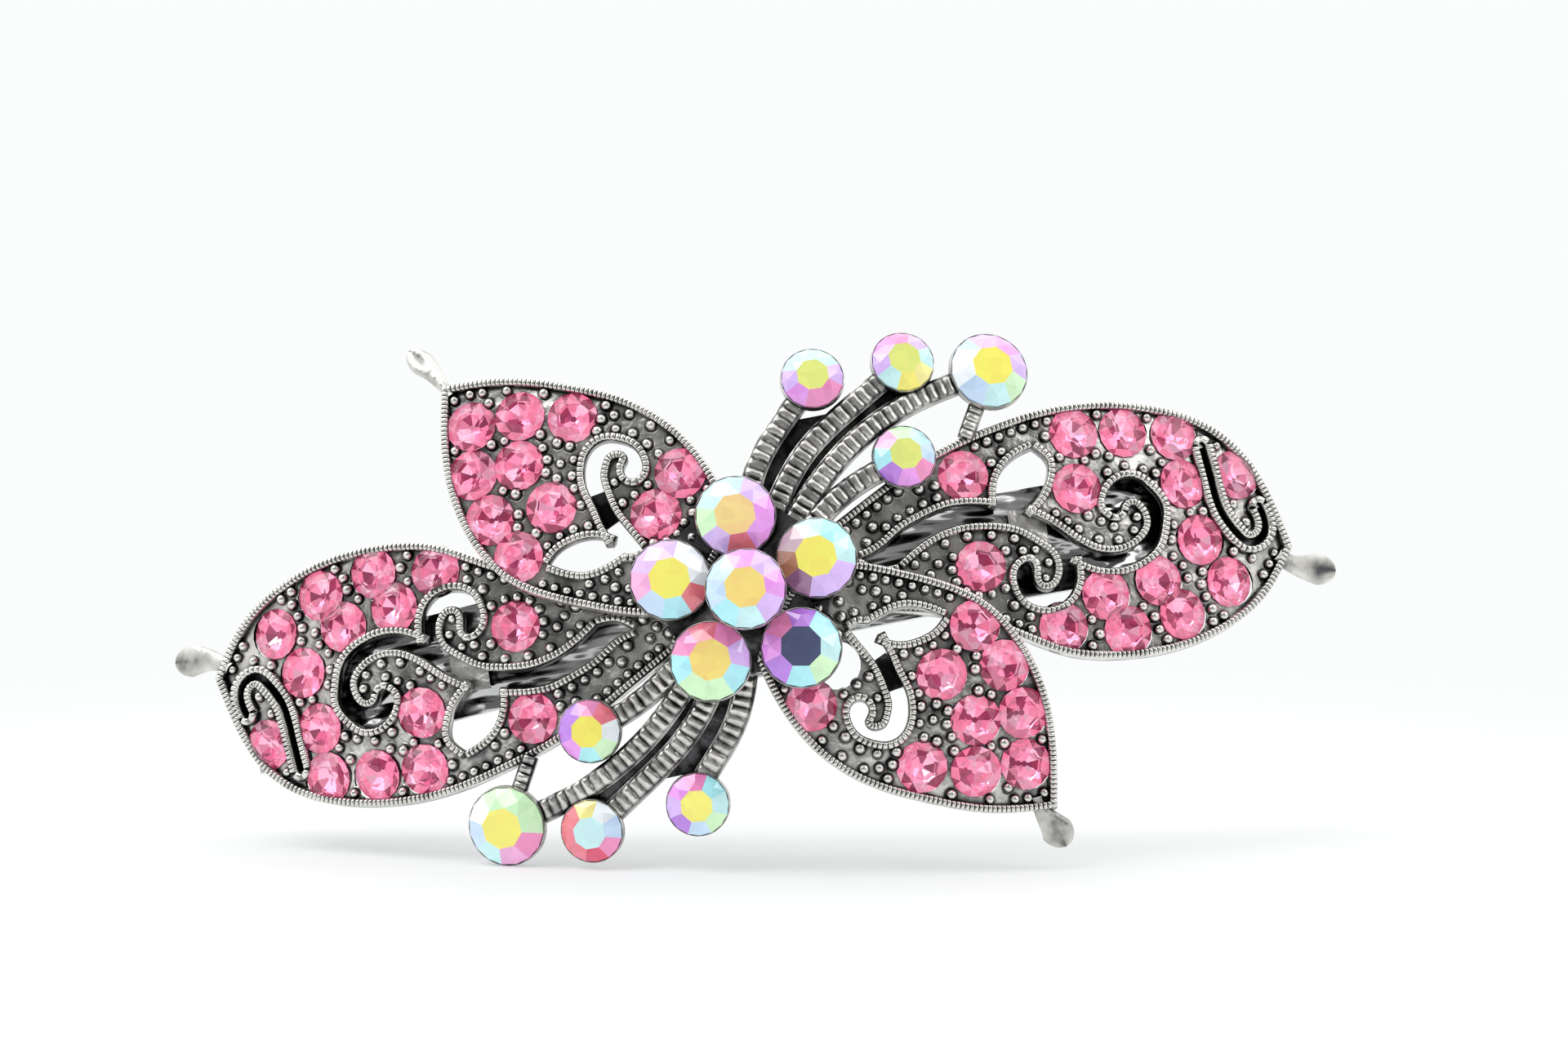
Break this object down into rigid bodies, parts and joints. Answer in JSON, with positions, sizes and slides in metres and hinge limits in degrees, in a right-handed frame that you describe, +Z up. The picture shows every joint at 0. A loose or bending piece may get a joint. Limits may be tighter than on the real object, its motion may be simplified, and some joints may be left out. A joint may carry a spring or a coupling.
{
  "type": "hair clip",
  "caption": "Jewelled hair barrette: gunmetal petals and stamens set with faceted stones on a bowed clip with hinged arm, tension spring and pinch catch.",
  "frame": {"origin": "middle of the base bar's hollow side, where the hair lies, on the ornament's half-turn axis", "axes": "+X along the long petals to the hinge end, +Z up across them as worn, the jewelled face looks along -Y; the bar and the clasp are tilted 3.4 degrees about Y, hinge end up"},
  "size_m": [0.0932, 0.0281, 0.0478],
  "materials": {
    "pink_glass": "faceted pink glass with a foiled back",
    "aurora_glass": "faceted clear glass with an iridescent coating",
    "antique_gunmetal": "antiqued gunmetal plating on cast zinc, bright on the edges and black in the recesses",
    "dark_steel": "gunmetal plated spring steel"
  },
  "bodies": {
    "ornament_and_bar": {"long_petal_casting": "antique_gunmetal", "short_petal_casting": "antique_gunmetal", "flower_casting": "antique_gunmetal", "left_long_petal_stones": "pink_glass", "right_long_petal_stones": "pink_glass", "upper_short_petal_stones": "pink_glass", "lower_short_petal_stones": "pink_glass", "centre_stone": "aurora_glass", "flower_stones": "aurora_glass", "upper_spray_small_stones": "aurora_glass", "upper_spray_large_stone": "aurora_glass", "lower_spray_small_stones": "aurora_glass", "lower_spray_large_stone": "aurora_glass", "base_bar": "dark_steel", "tension_spring": "dark_steel", "catch_plate": "dark_steel", "catch_rivet": "dark_steel", "mounting_rivets": "dark_steel", "hinge_pin": "dark_steel"},
    "clasp_arm": {"clasp_arm": "dark_steel"},
    "upper_pinch_tab": {"upper_pinch_tab": "dark_steel"},
    "lower_pinch_tab": {"lower_pinch_tab": "dark_steel"}
  },
  "joints": [
    {"name": "clasp_hinge", "type": "hinge", "parent": "ornament_and_bar", "child": "clasp_arm", "pos_m": [0.03434, 0.01142, 0.00204], "axis": [0.0593, 0, -0.9982], "range_deg": [0, 95], "deforming": ["upper_pinch_tab", "lower_pinch_tab"]},
    {"name": "upper_pinch", "type": "hinge", "parent": "ornament_and_bar", "child": "upper_pinch_tab", "pos_m": [-0.03463, 0.00994, 0.00035], "axis": [-0.8688, 0.4924, -0.0516], "range_deg": [0, 9]},
    {"name": "lower_pinch", "type": "hinge", "parent": "ornament_and_bar", "child": "lower_pinch_tab", "pos_m": [-0.03434, 0.00994, -0.00444], "axis": [-0.8688, 0.4924, -0.0516], "range_deg": [-9, 0]}
  ],
  "couplings": [
    {"joint": "lower_pinch", "follows": "upper_pinch", "ratio": -1}
  ]
}
